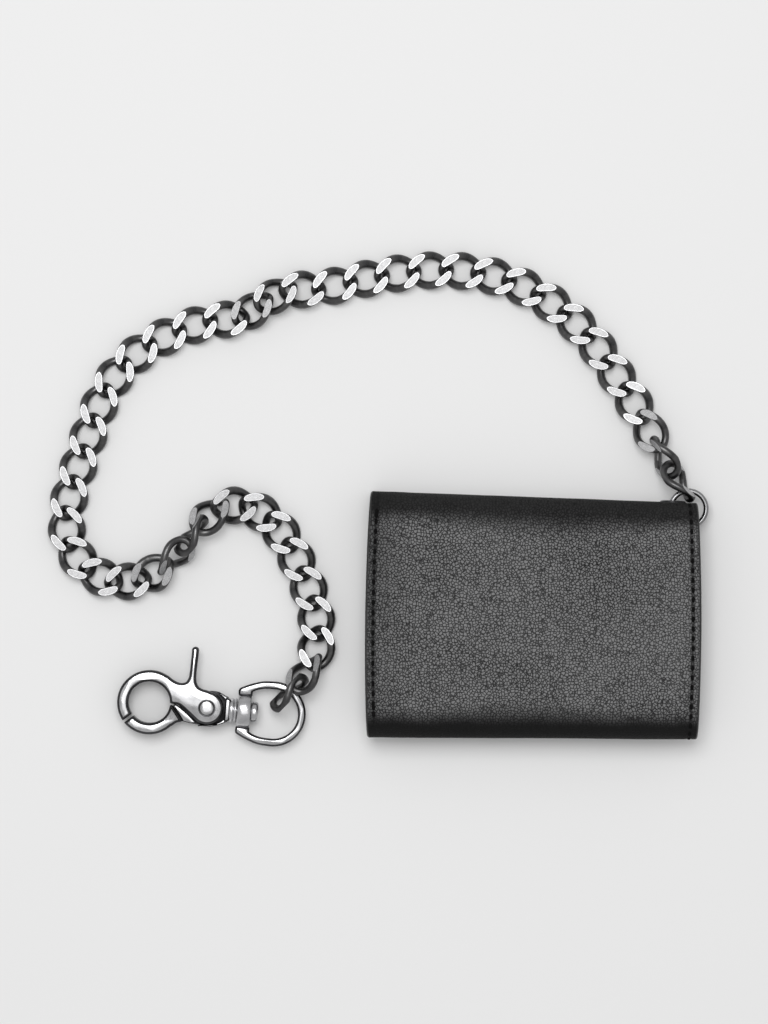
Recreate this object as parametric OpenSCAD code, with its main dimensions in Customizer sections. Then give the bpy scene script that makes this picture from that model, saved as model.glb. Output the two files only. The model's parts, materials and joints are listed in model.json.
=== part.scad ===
// Trifold leather wallet on a curb chain with a trigger snap, lying on a table.
// Millimetres, +Z up, Z = 0 on the table, origin under the middle of the whole object.

/* [Wallet] */
// Outer top left corner of the closed wallet
wallet_tl = [-2.4, 2.4]; // [-4:0.1:0]
// Outer top right corner
wallet_tr = [103.2, -1.5]; // [102:0.1:105]
// Outer bottom right corner
wallet_br = [103.0, -77.9]; // [102:0.1:105]
// Outer bottom left corner
wallet_bl = [-3.6, -77.3]; // [-5:0.1:-2]
// Thickness of the closed wallet
wallet_t = 16; // [15.6:0.1:18]
// Thickness of the cover leather
leather_t = 1.8; // [1.4:0.1:2]
// Thickness of the lining and pocket leather
lining_t = 0.9; // [0.7:0.1:1]
// Outer radius of the top fold, which wraps round everything
top_fold_r = 5.5; // [5:0.1:6]
// Outer radius of the bottom fold, which wraps round the inner flap
bottom_fold_r = 5.35; // [5.1:0.05:5.35]

/* [Eyelet and ring] */
// How far along the spine the eyelet sits
eyelet_along = 98; // [90:0.5:98]
// Height of the eyelet and of the ring above the table
eyelet_z = 5.9; // [5.8:0.1:6]
// Radius of the eyelet's hole
eyelet_hole_r = 2.5; // [2.3:0.1:2.7]
// Radius of the eyelet's outer flange
eyelet_flange_r = 4.2; // [3.8:0.1:4.2]
// Radius of the ring, to the middle of its wire
ring_r = 5.75; // [5.7:0.05:5.8]
// Diameter of the ring's wire
ring_wire_d = 1.7; // [1.4:0.1:1.7]

/* [Chain] */
// Half the length of a link, to the middle of its wire
link_half_l = 6.7; // [6.65:0.05:6.75]
// Half the width of a link, to the middle of its wire
link_half_w = 4.7; // [4.6:0.05:4.75]
// Diameter of a link's wire
link_wire_d = 2.5; // [2.2:0.1:2.5]
// How far each end of a link is twisted out of its plane, in degrees
link_twist = 45; // [44:1:47]
// Thickness over a link's two ground faces
link_ground_t = 4.4; // [4.2:0.1:4.6]

/* [Clasp] */
// Place of the trigger's rivet on the table
rivet_at = [-55.7, -68]; // [-58:0.1:-54]
// Direction of the clasp's axis, in degrees from +X
clasp_turn = -5.4; // [-6:0.1:-5]
// Height of the clasp's axis above the table
clasp_z = 4.1; // [4.1:0.1:4.3]
// Thickness of the jaws
clasp_t = 6.6; // [6:0.1:7]
// Inner radius of the closed eye
eye_r = 6.8; // [6.5:0.1:7]
// Outer radius of the closed eye
eye_outer_r = 10.4; // [10:0.1:10.8]
// Diameter of the D-ring's wire
d_wire_d = 2.6; // [2.4:0.1:2.6]
// Half the width of the D-ring, to the middle of its wire
d_half_w = 9.3; // [9.2:0.1:9.4]
// Radius of the swivel post
post_r = 2; // [1.8:0.1:2.2]

/* [Hidden] */
link_count = 44;
link_rings = 18;
link_sides = 8;
table_h = 2.25;
fit_gap = 0.1;
plate_gap = 0.05;
corner_gap = 0.1;
fine = 96;
// Puts the middle of the whole object's outline over the origin
to_middle = [0.08, 0.25, 0];

// Heights of the layers of the closed wallet, from the outer flap up
inner_flap_z = wallet_t - 2 * bottom_fold_r;
top_axis_z = wallet_t - top_fold_r;
bottom_axis_z = wallet_t - bottom_fold_r;
divider_z = wallet_t - leather_t - 1.8;
divider_t = 0.8;
centre_pocket_z = divider_z - 2 * lining_t;
spine_bend_r = 2;
pocket_inset = 2;

// Where each link meets the next, from the ring to the D-ring: X and Y
chain_xy = [
    [100.2, 1.5], [94.6, 9.3], [90.4, 17.4], [85.8, 26.4], [80.6, 35.4],
    [74.5, 44.5], [68.5, 53], [60.5, 60.5], [52, 66.5], [42.5, 71],
    [32.5, 73.5], [22, 74.5], [11.5, 74], [1, 72.5], [-9, 70.5],
    [-19.5, 68], [-30, 68], [-37, 64], [-44.5, 58.5], [-54.7, 58],
    [-64.8, 54.8], [-74.5, 50.3], [-82.8, 43.8], [-88.9, 35.2], [-92.8, 25.4],
    [-96, 15.4], [-99.3, 5.4], [-101.9, -4.8], [-101, -15], [-95, -23.5],
    [-86, -27.5], [-77, -26.5], [-69.4, -22.3], [-63, -15.5], [-58, -8.5],
    [-51.5, -2.5], [-42.5, -2], [-34.5, -7], [-29, -15], [-24.5, -24.5],
    [-21, -34], [-19.5, -44], [-21, -53.5], [-26, -60], [-32, -66]
];
// Joints that stand higher than a flat link's middle: number and height
raised_joints = [
    [0, 6.3], [1, 6.5], [2, 5.6], [3, 3.3], [4, 2.4],
    [16, 3.1], [17, 3.9], [18, 2.7], [30, 2.4], [31, 2.7], [32, 4.9],
    [33, 6.7], [34, 5.8], [35, 3.7], [36, 2.4], [41, 2.6], [42, 4.9],
    [43, 6.1], [44, 5.7]
];
// Links that are rolled about the chain's line where it kinks: number and degrees
rolled_links = [
    [1, -115], [2, -66], [3, -18], [17, 12], [18, 12],
    [33, 52], [34, 104], [35, 156], [43, 45], [44, 90]
];

function two_digits(i) = str(i < 10 ? "0" : "", i);
function link_name(i) = str("chain_link_", two_digits(i));
function found_in(list, key, other) =
    let (hits = [for (row = list) if (row[0] == key) row[1]])
    len(hits) > 0 ? hits[0] : other;
function joint_at(k) = [chain_xy[k].x, chain_xy[k].y, found_in(raised_joints, k, table_h)];
function toward(p, q, d) = p + (q - p) / norm(q - p) * d;
function unit(v) = v / norm(v);
function turn_of(p, q) = atan2(q.y - p.y, q.x - p.x);

// ---- Frames -------------------------------------------------------------

// Draws a child outline across the fold line from p to q and runs it along that line.
// The outline's X is the way out of the wallet and its Y is up.
module along_fold(p, q, length) {
    translate([p.x, p.y, 0])
        rotate([0, 0, turn_of(p, q)])
            rotate([90, 0, 90])
                linear_extrude(length)
                    children();
}

// The spine's own frame: X along the top fold, Y out of the wallet, Z up.
module on_spine(along) {
    translate([wallet_tl.x, wallet_tl.y, 0])
        rotate([0, 0, turn_of(wallet_tl, wallet_tr)])
            translate([along, 0, 0])
                children();
}

// The clasp's own frame: X along its axis to the D-ring, origin at the rivet.
module on_clasp() {
    translate([rivet_at.x, rivet_at.y, clasp_z])
        rotate([0, 0, clasp_turn])
            children();
}

// ---- Wallet -------------------------------------------------------------

// The wallet's outline between two insets from the folds and two from the sides.
function panel(top, bottom, left, right) =
    let (
        tl = toward(wallet_tl, wallet_bl, top),
        tr = toward(wallet_tr, wallet_br, top),
        br = toward(wallet_br, wallet_tr, bottom),
        bl = toward(wallet_bl, wallet_tl, bottom)
    )
    [toward(tl, tr, left), toward(tr, tl, right), toward(br, bl, right), toward(bl, br, left)];

module slab(z, t, top, bottom, left = 0, right = 0) {
    translate([0, 0, z])
        linear_extrude(t)
            polygon(panel(top, bottom, left, right));
}

module quarter_arc(outer_r, t) {
    intersection() {
        difference() {
            circle(r = outer_r, $fn = fine);
            circle(r = outer_r - t, $fn = fine);
        }
        square(outer_r + 1);
    }
}

module outer_flap_cover() {
    color("#2b2b2d")
        difference() {
            union() {
                slab(0, leather_t, spine_bend_r, 3.6);
                along_fold(wallet_tl, wallet_tr, norm(wallet_tr - wallet_tl)) {
                    translate([-spine_bend_r, spine_bend_r])
                        mirror([0, 1])
                            quarter_arc(spine_bend_r, leather_t);
                    translate([-leather_t, spine_bend_r])
                        square([leather_t, top_axis_z - spine_bend_r]);
                }
            }
            on_spine(eyelet_along)
                translate([0, 1, eyelet_z])
                    rotate([90, 0, 0])
                        cylinder(r = eyelet_hole_r + 0.5, h = leather_t + 2, $fn = fine);
        }
}

// A rolled brass eyelet through the spine, and the washer that it is set over inside.
module chain_eyelet() {
    wall = 0.5;
    flange_t = 0.5;
    color("#55585c")
        on_spine(eyelet_along)
            translate([0, 0, eyelet_z])
                rotate([90, 0, 0]) {
                    translate([0, 0, -flange_t])
                        difference() {
                            union() {
                                cylinder(r = eyelet_flange_r, h = flange_t, $fn = fine);
                                cylinder(r = eyelet_hole_r + wall, h = leather_t + 3 * flange_t, $fn = fine);
                            }
                            translate([0, 0, -1])
                                cylinder(r = eyelet_hole_r, h = leather_t + 4, $fn = fine);
                        }
                    translate([0, 0, leather_t])
                        difference() {
                            cylinder(r = eyelet_flange_r - 0.3, h = flange_t, $fn = fine);
                            translate([0, 0, -1])
                                cylinder(r = eyelet_hole_r + wall, h = 3, $fn = fine);
                        }
                }
}

// The outer flap's pocket, with a shallow recess where its clear window lies.
module id_window_pocket() {
    color("#242426")
        difference() {
            slab(leather_t, 2 * lining_t, 14, 6, 3, pocket_inset);
            slab(leather_t + 2 * lining_t - 0.3, 1, 21, 14, 18, 14);
        }
}

module top_fold() {
    color("#232325")
        along_fold(wallet_tl, wallet_tr, norm(wallet_tr - wallet_tl))
            translate([-top_fold_r, top_axis_z])
                quarter_arc(top_fold_r, leather_t);
}

module bottom_fold() {
    color("#232325")
        along_fold(wallet_br, wallet_bl, norm(wallet_bl - wallet_br))
            translate([-bottom_fold_r, bottom_axis_z]) {
                quarter_arc(bottom_fold_r, leather_t);
                mirror([0, 1])
                    quarter_arc(bottom_fold_r, leather_t);
            }
}

// The visible back panel. A margin on its right edge is sewn down to the bill divider.
module centre_cover() {
    rim_t = wallet_t - leather_t - divider_z - divider_t;
    top = top_fold_r + corner_gap;
    bottom = bottom_fold_r + corner_gap;
    edge = panel(top + 0.5, bottom + 0.5, 0, 0.3);
    color("#323234") {
        slab(wallet_t - leather_t, leather_t, top, bottom);
        translate([0, 0, divider_z + divider_t])
            linear_extrude(rim_t)
                polygon([toward(edge[1], edge[0], 4), edge[1], edge[2], toward(edge[2], edge[3], 4)]);
    }
}

module bill_divider() {
    color("#1f1f21")
        slab(divider_z, divider_t, top_fold_r + 0.5, bottom_fold_r + 0.5, 1);
}

// Two card slots, one stepped over the other, on the underside of the divider.
module centre_card_pocket() {
    color("#262628") {
        slab(centre_pocket_z + lining_t, lining_t, 14, 8, 10, pocket_inset);
        slab(centre_pocket_z, lining_t, 14, 8, 26, pocket_inset);
    }
}

module inner_flap_cover() {
    color("#2b2b2d")
        slab(inner_flap_z, leather_t, 15, bottom_fold_r + corner_gap);
}

// Three stepped card slots on the inner flap.
module inner_card_pocket() {
    color("#262628") {
        slab(inner_flap_z + leather_t, lining_t, 16, 8, 6, pocket_inset);
        slab(inner_flap_z + leather_t + lining_t, lining_t, 16, 8, 20, pocket_inset);
        slab(inner_flap_z + leather_t + 2 * lining_t, lining_t, 16, 8, 34, pocket_inset);
    }
}

// ---- Ring and chain -----------------------------------------------------

ring_at = [100.6, -3.3];

module wallet_ring() {
    color("#4a4c50")
        translate([ring_at.x, ring_at.y, eyelet_z])
            rotate_extrude($fn = fine)
                translate([ring_r, 0])
                    circle(d = ring_wire_d, $fn = 32);
}

// A curb link is an oval of round wire, twisted about its length and ground flat on two faces.
function twist_at(x) = -link_twist * x / link_half_l;
function twisted(p) = [p.x, p.y * cos(twist_at(p.x)), p.y * sin(twist_at(p.x))];
function wire_middle(t) = twisted([link_half_l * cos(t), link_half_w * sin(t)]);
function outward(t) =
    let (a = twist_at(link_half_l * cos(t)), y = link_half_l * sin(t))
    [link_half_w * cos(t), y * cos(a), y * sin(a)];
function ground(p) = [p.x, p.y, min(max(p.z, -link_ground_t / 2), link_ground_t / 2)];
function link_ring(t) =
    let (
        along = unit(wire_middle(t + 0.05) - wire_middle(t - 0.05)),
        out = outward(t),
        side = unit(out - (out * along) * along),
        up = cross(along, side)
    )
    [for (j = [0 : link_sides - 1])
        let (s = 360 * j / link_sides)
        ground(wire_middle(t) + link_wire_d / 2 * (cos(s) * side + sin(s) * up))];

link_points = [for (i = [0 : link_rings - 1]) each link_ring(360 * i / link_rings)];
function link_vertex(i, j) = (i % link_rings) * link_sides + j % link_sides;
link_faces = [
    for (i = [0 : link_rings - 1], j = [0 : link_sides - 1], half = [0, 1])
        half == 0
            ? [link_vertex(i, j), link_vertex(i + 1, j), link_vertex(i + 1, j + 1)]
            : [link_vertex(i, j), link_vertex(i + 1, j + 1), link_vertex(i, j + 1)]
];

module chain_link(i) {
    p = joint_at(i - 1);
    q = joint_at(i);
    d = q - p;
    color("#5a5c60")
        translate((p + q) / 2)
            rotate([0, -atan2(d.z, norm([d.x, d.y])), atan2(d.y, d.x)])
                rotate([found_in(rolled_links, i, 0), 0, 0])
                    polyhedron(link_points, link_faces, 4);
}

// ---- Clasp --------------------------------------------------------------

eye_at = [-18.8, 0.1];
jaw_split = 222;
eye_stock_r = eye_r - 0.4; // the outlines' eye, before the eye is bored
hub_r = 5.3;
pin_r = 1.5;
collar_at = 7.4;
collar_r = 4;
boss_at = 9.9;
boss_l = 4.3;
boss_half_w = 5.7;
boss_half_t = 3.9;
head_at = 14.4;
head_r = 3.4;
head_l = 2.2;
d_round_at = 21.6;
d_outer_r = d_half_w + d_wire_d / 2;
d_inner_r = d_half_w - d_wire_d / 2;

function arc_points(centre, r, from, to, step = 6) =
    let (n = max(1, round(abs(to - from) / step)))
    [for (k = [0 : n]) let (a = from + (to - from) * k / n) centre + r * [cos(a), sin(a)]];

// A smooth line through the points.
function smooth_line(p, steps = 4) = concat(
    [for (i = [0 : len(p) - 2], k = [0 : steps - 1])
        let (a = p[max(0, i - 1)], b = p[i], c = p[i + 1], d = p[min(len(p) - 1, i + 2)], t = k / steps)
        (2 * b + (c - a) * t + (2 * a - 5 * b + 4 * c - d) * t * t + (3 * b - a - 3 * c + d) * t * t * t) / 2],
    [p[len(p) - 1]]
);
function flipped(p) = [for (q = p) [q.x, -q.y]];
function backwards(p) = [for (i = [len(p) - 1 : -1 : 0]) p[i]];

// Half of the eye, the saddle, the thumb lever and the hub, as one outline.
trigger_outline = concat(
    arc_points(eye_at, eye_outer_r, jaw_split - 2.2, 62),
    smooth_line([[-13.6, 9.25], [-11.6, 8], [-9.6, 7.3], [-7.8, 7.6], [-6.9, 8.9], [-6.6, 10.8], [-6.5, 17.6]]),
    arc_points([-5.45, 18.3], 1.15, 165, 10, 25),
    smooth_line([[-4.3, 17.4], [-4.45, 11], [-4.2, 8.2], [-3.3, 6.6], [-1.9, 5.9], [-0.4, 5.65]]),
    arc_points([0, 0], hub_r, 80, -118),
    smooth_line([[-3.4, -4.1], [-6.4, -1.7], [-9, 0.1], [-11.2, 0.35]]),
    arc_points(eye_at, eye_stock_r, 6, jaw_split - 3.4)
);
// The same half of the eye below the hub's level.
hook_outline = concat(
    arc_points(eye_at, eye_outer_r - 0.05, jaw_split - 2.4, 30),
    arc_points(eye_at, eye_stock_r, 12, jaw_split - 3.4)
);
// The fixed half of the eye and the plate under the hub.
body_outline = concat(
    arc_points(eye_at, eye_outer_r, jaw_split + 2.2, 318),
    smooth_line([[-10.9, -6.9], [-9.3, -5.6], [-7.4, -5.15], [-5, -5.5], [-2, -5.75], [2, -5.6], [6.2, -4.3]]),
    [[6.6, -4], [6.6, 4]],
    smooth_line([[6, 4.2], [2.6, 5.5], [-1.5, 4.9], [-4.5, 2], [-8, -0.3], [-11.9, -0.5]]),
    arc_points(eye_at, eye_stock_r, 353, jaw_split + 3.4)
);
jaw_outline = concat(
    arc_points(eye_at, eye_outer_r - 0.05, jaw_split + 2.4, 316),
    smooth_line([[-11.1, -6.9], [-9.5, -5.5], [-8.1, -5.1], [-8.2, -4.3], [-9.5, -2.6], [-11.3, -0.5]]),
    arc_points(eye_at, eye_stock_r, 354, jaw_split + 3.4)
);
web_outline = concat(
    smooth_line([[-11, -0.4], [-9.2, -2.3], [-7.6, -4.5]]),
    [[-5, -5.3], [-3.4, -4.9]],
    smooth_line([[-4.1, -4.3], [-6.7, -2.3], [-9.2, -0.6], [-10.7, -0.2]])
);

module between(low, high) {
    translate([0, 0, low])
        linear_extrude(high - low)
            children();
}

module along_axis(from, length, r) {
    translate([from, 0, 0])
        rotate([0, 90, 0])
            cylinder(r = r, h = length, $fn = fine);
}

module eye_bore() {
    translate([eye_at.x, eye_at.y, -clasp_t])
        cylinder(r = eye_r, h = 2 * clasp_t, $fn = fine);
}

module trigger_jaw() {
    color("#8d9094")
        on_clasp()
            difference() {
                union() {
                    between(plate_gap, clasp_t / 2)
                        polygon(trigger_outline);
                    between(0.1 - clasp_t / 2, plate_gap + 0.2)
                        polygon(hook_outline);
                }
                cylinder(r = pin_r + fit_gap / 2, h = 2 * clasp_t, center = true, $fn = fine);
                eye_bore();
            }
}

// The fixed half: lower jaw, the plate under the trigger, the neck, collar and swivel post.
module clasp_body() {
    half = clasp_t / 2;
    color("#85888c")
        on_clasp()
            difference() {
                union() {
                    between(-half, -plate_gap)
                        polygon(body_outline);
                    between(-1, half)
                        polygon(jaw_outline);
                    between(-1, 1.9)
                        polygon(web_outline);
                    between(-3, 3)
                        polygon([[6, -3.8], [7.6, -3.3], [7.6, 3.3], [6, 3.8]]);
                    along_axis(collar_at, boss_at - 0.2 - collar_at, collar_r);
                    along_axis(boss_at - 0.5, head_at - boss_at + 1, post_r);
                    along_axis(head_at, head_l, head_r);
                }
                cylinder(r = pin_r, h = 2 * clasp_t, center = true, $fn = fine);
                translate([0, 0, -2])
                    cylinder(r = 3.6, h = 4, $fn = fine);
                eye_bore();
            }
}

module pivot_rivet() {
    head_t = 0.4;
    color("#a2a5a9")
        on_clasp()
            union() {
                translate([0, 0, -clasp_t / 2 - head_t])
                    cylinder(r = pin_r, h = clasp_t + 2 * head_t - 0.2, $fn = fine);
                translate([0, 0, -clasp_t / 2 - head_t])
                    cylinder(r = 2.6, h = head_t, $fn = fine);
                translate([0, 0, clasp_t / 2 + 0.02])
                    cylinder(r = 2.9, h = head_t, $fn = fine);
            }
}

// The torsion spring round the rivet, in the body's round pocket under the trigger.
module trigger_spring() {
    color("#b9bcc0")
        on_clasp()
            translate([0, 0, -1.95])
                rotate_extrude($fn = fine)
                    for (turn = [0 : 2])
                        translate([2.6, 0.35 + 0.6 * turn])
                            circle(d = 0.7, $fn = 24);
}

// Half of the D-ring's outline, drawn in by a margin all round.
function d_outside(m) = concat(
    smooth_line([[boss_at + m, 5], [boss_at + m, 6.8 - m / 2], [11.2 + m / 2, 8 - m], [14.2 + m / 3, 9.3 - m],
                 [17.6, 10.25 - m], [d_round_at, d_outer_r - m]]),
    arc_points([d_round_at, 0], d_outer_r - m, 84, 0)
);
function d_inside(m) = concat(
    [[boss_at + boss_l - m, 5]],
    smooth_line([[boss_at + boss_l - m, 6.4 + m], [15.6, 7.2 + m], [18.2, 7.85 + m], [d_round_at, d_inner_r + m]]),
    arc_points([d_round_at, 0], d_inner_r + m, 84, 0)
);

module d_outline(m) {
    polygon(concat(d_outside(m), backwards(flipped(d_outside(m))), flipped(d_inside(m)), backwards(d_inside(m))));
}

// The D-ring turns on the swivel post by a flattened boss between its two ears.
module swivel_d_ring() {
    boss_r = (boss_half_w * boss_half_w + boss_half_t * boss_half_t) / (2 * boss_half_t);
    color("#6f7276")
        on_clasp()
            difference() {
                union() {
                    between(-0.7, 0.7)
                        d_outline(0);
                    between(-1, 1)
                        d_outline(0.3);
                    between(0.1 - d_wire_d / 2, d_wire_d / 2 - 0.1)
                        d_outline(0.6);
                    intersection() {
                        translate([0, 0, boss_half_t - boss_r])
                            along_axis(boss_at, boss_l, boss_r);
                        translate([0, 0, boss_r - boss_half_t])
                            along_axis(boss_at, boss_l, boss_r);
                    }
                }
                along_axis(boss_at - 1, boss_l + 2, post_r + fit_gap / 2);
            }
}

// ---- Nodes --------------------------------------------------------------

translate(to_middle) outer_flap_cover();
translate(to_middle) chain_eyelet();
translate(to_middle) id_window_pocket();
translate(to_middle) top_fold();
translate(to_middle) centre_cover();
translate(to_middle) bill_divider();
translate(to_middle) centre_card_pocket();
translate(to_middle) bottom_fold();
translate(to_middle) inner_flap_cover();
translate(to_middle) inner_card_pocket();
translate(to_middle) wallet_ring();
for (i = [1 : link_count])
    translate(to_middle) chain_link(i);
translate(to_middle) swivel_d_ring();
translate(to_middle) clasp_body();
translate(to_middle) trigger_jaw();
translate(to_middle) pivot_rivet();
translate(to_middle) trigger_spring();
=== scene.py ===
"""The looks of the chain wallet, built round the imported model. Sizes are in millimetres until a mesh is finished.

A place on the wallet is given as x, across from its left edge, and s, down from its top edge, with z as the height.
A place on the clasp is given as u, along it from the rivet towards the D-ring, v, across it, and z from the rivet.
"""
import json
import math

import bmesh
import bpy
from mathutils import Matrix, Vector, noise


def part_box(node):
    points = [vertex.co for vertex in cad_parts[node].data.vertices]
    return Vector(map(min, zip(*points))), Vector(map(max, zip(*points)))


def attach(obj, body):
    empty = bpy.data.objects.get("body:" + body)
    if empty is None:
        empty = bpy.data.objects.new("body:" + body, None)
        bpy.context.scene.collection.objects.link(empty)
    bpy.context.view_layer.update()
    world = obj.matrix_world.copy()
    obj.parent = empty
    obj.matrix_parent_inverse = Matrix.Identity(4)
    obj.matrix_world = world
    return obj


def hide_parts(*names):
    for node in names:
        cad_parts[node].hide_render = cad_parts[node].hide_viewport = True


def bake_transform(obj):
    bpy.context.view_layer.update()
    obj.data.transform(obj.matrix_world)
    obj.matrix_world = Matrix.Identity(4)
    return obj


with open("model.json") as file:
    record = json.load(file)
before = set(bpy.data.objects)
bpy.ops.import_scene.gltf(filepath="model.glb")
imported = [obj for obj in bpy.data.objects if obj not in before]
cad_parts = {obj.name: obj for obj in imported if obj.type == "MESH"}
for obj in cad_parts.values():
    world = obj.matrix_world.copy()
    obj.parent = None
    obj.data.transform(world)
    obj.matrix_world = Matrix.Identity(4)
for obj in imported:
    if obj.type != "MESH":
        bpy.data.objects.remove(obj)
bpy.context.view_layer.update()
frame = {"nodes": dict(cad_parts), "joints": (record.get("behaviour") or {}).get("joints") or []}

MM = 0.001
WELD = 0.002             # points closer than this are one point
TL = Vector((-2.32, 2.65))       # the wallet's corners, seen from above: top left, top right and so on
TR = Vector((103.28, -1.25))
BR = Vector((103.08, -77.65))
BL = Vector((-3.52, -77.05))
WIDTH = 106.1
HEIGHT = 78.0
LEATHER = 1.7            # thickness of the outer skin
LEFT_BOW = 1.3           # how far the middle of the left edge stands out
RIGHT_BOW = 1.0


# ---------------------------------------------------------------- materials

class Shader:
    """A material's node tree, with short calls for the nodes used here."""

    def __init__(self, name, colour, roughness, metallic=0.0):
        self.mat = bpy.data.materials.new(name)
        self.mat.use_nodes = True
        self.tree = self.mat.node_tree
        self.bsdf = self.tree.nodes["Principled BSDF"]
        self.bsdf.inputs["Base Color"].default_value = (*colour, 1)
        self.bsdf.inputs["Roughness"].default_value = roughness
        self.bsdf.inputs["Metallic"].default_value = metallic
        self.place = self.tree.nodes.new("ShaderNodeTexCoord").outputs["Object"]

    def node(self, kind, inputs=(), **settings):
        made = self.tree.nodes.new(kind)
        for key, value in settings.items():
            setattr(made, key, value)
        for key, value in dict(inputs).items():
            if isinstance(value, bpy.types.NodeSocket):
                self.tree.links.new(value, made.inputs[key])
            else:
                made.inputs[key].default_value = value
        return made

    def noise(self, scale, detail=3.0, rough=0.5, place=None):
        """Noise from 0 to 1. A scale of 1000 makes features about a millimetre wide."""
        return self.node("ShaderNodeTexNoise", {"Vector": place or self.place, "Scale": scale, "Detail": detail,
                                                "Roughness": rough}).outputs["Fac"]

    def stretched(self, scale):
        return self.node("ShaderNodeMapping", {"Vector": self.place, "Scale": scale}).outputs["Vector"]

    def ramp(self, value, low, high, a=0.0, b=1.0):
        return self.node("ShaderNodeMapRange", {"Value": value, "From Min": low, "From Max": high,
                                                "To Min": a, "To Max": b}).outputs["Result"]

    def math(self, operation, a, b=0.0):
        return self.node("ShaderNodeMath", {0: a, 1: b}, operation=operation).outputs[0]

    def mix(self, fac, a, b):
        made = self.node("ShaderNodeMix", data_type="RGBA")
        self.set(made.inputs[0], fac)
        self.set(made.inputs[6], a)
        self.set(made.inputs[7], b)
        return made.outputs[2]

    def set(self, socket, value):
        if isinstance(value, bpy.types.NodeSocket):
            self.tree.links.new(value, socket)
        elif isinstance(value, (int, float)):
            socket.default_value = value
        else:
            socket.default_value = (*value, 1)

    def colour(self, value):
        self.set(self.bsdf.inputs["Base Color"], value)

    def roughness(self, value):
        self.set(self.bsdf.inputs["Roughness"], value)

    def bump(self, height, distance, strength=1.0):
        made = self.node("ShaderNodeBump", {"Height": height, "Distance": distance, "Strength": strength})
        self.tree.links.new(made.outputs["Normal"], self.bsdf.inputs["Normal"])


def leather(name, dark, light, grain=0.00085, depth=0.00011, rough=(0.42, 0.6), skin=False):
    """Pebbled leather. The outer skin's grain follows its own surface, and its shade attribute paints in shade,
    mostly on the folds.
    """
    s = Shader(name, dark, 0.5)
    if skin:
        s.place = s.node("ShaderNodeAttribute", attribute_name="skin").outputs["Vector"]
        shade = s.node("ShaderNodeAttribute", attribute_name="shade").outputs["Fac"]
    wander = s.node("ShaderNodeTexNoise", {"Vector": s.place, "Scale": 900.0, "Detail": 2.0}).outputs["Color"]
    moved = s.node("ShaderNodeVectorMath", {0: wander, "Scale": grain * 0.9}, operation="SCALE").outputs[0]
    place = s.node("ShaderNodeVectorMath", {0: s.place, 1: moved}, operation="ADD").outputs[0]
    cells = s.node("ShaderNodeTexVoronoi", {"Vector": place, "Scale": 1 / grain, "Randomness": 0.95},
                   feature="DISTANCE_TO_EDGE").outputs["Distance"]
    pebble = s.ramp(cells, 0.0, 0.17)
    fine = s.noise(5200.0, 2.0)
    broad = s.noise(34.0, 4.0)
    patch = s.noise(210.0, 3.0)
    height = s.math("ADD", s.math("MULTIPLY", pebble, s.ramp(patch, 0.3, 0.7, 0.55, 1.0)),
                    s.math("MULTIPLY", fine, 0.25))
    tone = s.math("ADD", s.math("MULTIPLY", pebble, 0.65), s.math("MULTIPLY", broad, 0.35))
    colour = s.mix(s.ramp(tone, 0.2, 0.85), dark, light)
    shine = s.ramp(s.math("ADD", s.math("MULTIPLY", broad, 0.6), s.math("MULTIPLY", fine, 0.4)), 0.3, 0.7,
                   rough[0], rough[1])
    s.bsdf.inputs["Specular IOR Level"].default_value = 0.22
    if skin:
        # painted shade: the shade attribute mixes the skin towards a near-black copy of its tone, most on the folds,
        # and also along its edges and stitch lines
        painted_shade_tone = s.mix(s.ramp(tone, 0.2, 0.85), tuple(0.1 * c for c in dark), tuple(0.012 * c for c in light))
        colour = s.mix(shade, colour, painted_shade_tone)
        height = s.math("MULTIPLY", height, s.ramp(shade, 0.0, 1.0, 1.0, 0.45))
        shine = s.math("ADD", shine, s.math("MULTIPLY", shade, 0.22))
    s.bump(height, depth, 0.9)
    s.colour(colour)
    s.roughness(shine)
    return s.mat


def metal(name, dark, light, rough=(0.2, 0.32), scratch=0.0, speckle=0.25):
    """Plated metal with soft clouds, fine speckle and faint lines along one way."""
    s = Shader(name, dark, rough[0], 1.0)
    cloud = s.noise(260.0, 4.0)
    grit = s.noise(7000.0, 2.0)
    lines = s.noise(900.0, 2.0, 0.6, s.stretched((1.0, 14.0, 3.0)))
    s.colour(s.mix(s.ramp(s.math("ADD", s.math("MULTIPLY", cloud, 1 - speckle), s.math("MULTIPLY", grit, speckle)),
                          0.35, 0.68), dark, light))
    s.roughness(s.ramp(s.math("ADD", s.math("MULTIPLY", cloud, 0.5), s.math("MULTIPLY", lines, 0.5)), 0.3, 0.7,
                       rough[0], rough[1]))
    height = s.math("ADD", s.math("MULTIPLY", lines, scratch), s.math("MULTIPLY", grit, 0.35))
    s.bump(height, 0.00003, 0.5)
    return s.mat


def plain(name, colour, rough, grain=3000.0, depth=0.00004, shine=0.5):
    """A dull, finely grained stuff, such as thread or edge paint."""
    s = Shader(name, colour, rough)
    fine = s.noise(grain, 3.0)
    s.colour(s.mix(s.ramp(fine, 0.3, 0.7), colour, tuple(min(1.0, 1.7 * c) for c in colour)))
    s.roughness(s.ramp(s.noise(120.0), 0.3, 0.7, rough - 0.06, rough + 0.08))
    s.bump(fine, depth, 0.6)
    s.bsdf.inputs["Specular IOR Level"].default_value = shine
    return s.mat


def cloth(name, dark, light, pitch=0.0006):
    """A plain weave, with a thread every pitch metres."""
    s = Shader(name, dark, 0.85)
    waves = [s.node("ShaderNodeTexWave", {"Vector": s.place, "Scale": 0.5 / pitch, "Distortion": 0.4},
                    wave_type="BANDS", bands_direction=way).outputs["Fac"] for way in ("X", "Y")]
    weave = s.math("MULTIPLY", waves[0], waves[1])
    s.colour(s.mix(weave, dark, light))
    s.bump(weave, 0.00008, 0.8)
    s.bsdf.inputs["Sheen Weight"].default_value = 0.2
    return s.mat


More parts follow.
